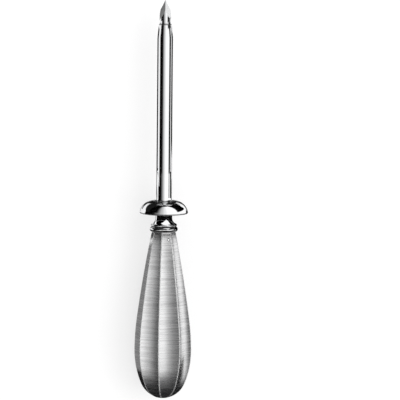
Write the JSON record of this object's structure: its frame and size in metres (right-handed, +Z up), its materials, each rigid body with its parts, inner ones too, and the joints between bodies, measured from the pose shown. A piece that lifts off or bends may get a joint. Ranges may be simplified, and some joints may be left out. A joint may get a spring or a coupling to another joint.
{
  "type": "trocar",
  "caption": "Trocar with a three-sided piercing stylet in a fluted hollow metal handle, and a sliding cannula with a domed shield.",
  "frame": {"origin": "centre of the bounding box at the surface that the handle lies on", "axes": "+Y along the instrument's axis, from the butt of the handle towards the point; +Z up, with the handle resting on two of its ridges"},
  "size_m": [0.0204, 0.1524, 0.0203],
  "materials": {
    "polished": "mirror polished plate",
    "handle_satin": "satin plate, finely brushed round the handle",
    "steel": "ground and polished"
  },
  "bodies": {
    "handle": {"handle_shell_front": "handle_satin", "handle_shell_back": "handle_satin", "bead_ring": "polished", "neck_bolster": "polished", "cross_pin": "steel", "stylet": "steel"},
    "cannula": {"cannula_tube": "polished", "shield": "polished"}
  },
  "joints": [
    {"name": "cannula_slide", "type": "slide", "parent": "handle", "child": "cannula", "axis": [0, 1, 0], "range_m": [0, 0.085]}
  ]
}
